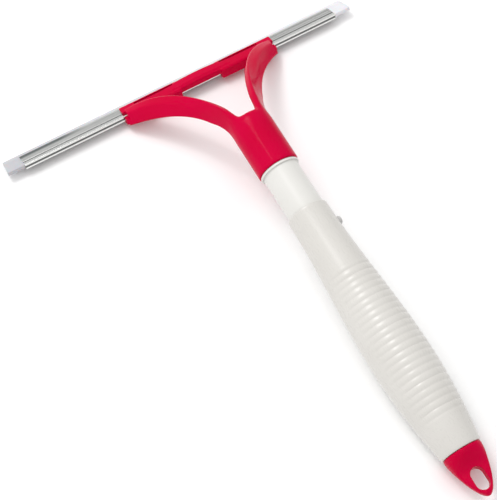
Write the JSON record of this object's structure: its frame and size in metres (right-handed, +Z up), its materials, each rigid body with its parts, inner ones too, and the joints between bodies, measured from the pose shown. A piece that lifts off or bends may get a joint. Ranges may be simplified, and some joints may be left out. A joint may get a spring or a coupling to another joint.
{
  "type": "window cleaning squeegee",
  "caption": "Hand squeegee for windows: rubber blade in a metal rail, forked red clip head, and a ribbed white handle with a hanging cap.",
  "frame": {"origin": "on the surface that the squeegee lies on, under the middle of its length and of the blade", "axes": "+Z up from that surface, +Y along the handle towards the blade's edge, +X along the blade to the right"},
  "size_m": [0.25, 0.3358, 0.0534],
  "materials": {
    "red_plastic": "moulded, glossy",
    "white_plastic": "moulded, satin gloss",
    "neck_plastic": "moulded, satin gloss",
    "rail_metal": "brushed along its length",
    "blade_rubber": "matt, pale grey",
    "button_plastic": "moulded, grey",
    "spring_steel": "rolled strip"
  },
  "bodies": {
    "handle": {"grip": "white_plastic", "neck_tube": "neck_plastic", "spring_bend": "spring_steel"},
    "head": {"head_frame": "red_plastic"},
    "rail": {"rail": "rail_metal"},
    "blade": {"rubber_blade": "blade_rubber"},
    "button": {"snap_button": "button_plastic", "spring_leg": "spring_steel"},
    "cap": {"end_cap": "red_plastic"}
  },
  "joints": [
    {"name": "head_pull_off", "type": "slide", "parent": "handle", "child": "head", "axis": [0, 0.9928, 0.1201], "range_m": [0, 0.032]},
    {"name": "rail_slide", "type": "slide", "parent": "head", "child": "rail", "axis": [1, 0, 0], "range_m": [-0.04, 0.063]},
    {"name": "blade_slide", "type": "slide", "parent": "rail", "child": "blade", "axis": [1, 0, 0], "range_m": [-0.012, 0.012]},
    {"name": "button_press", "type": "slide", "parent": "handle", "child": "button", "axis": [-1, 0, 0], "range_m": [0, 0.004], "stiffness_N_per_m": 1200, "springref_m": -0.001},
    {"name": "cap_pull_off", "type": "slide", "parent": "handle", "child": "cap", "axis": [0, -0.9928, -0.1201], "range_m": [0, 0.012]}
  ]
}
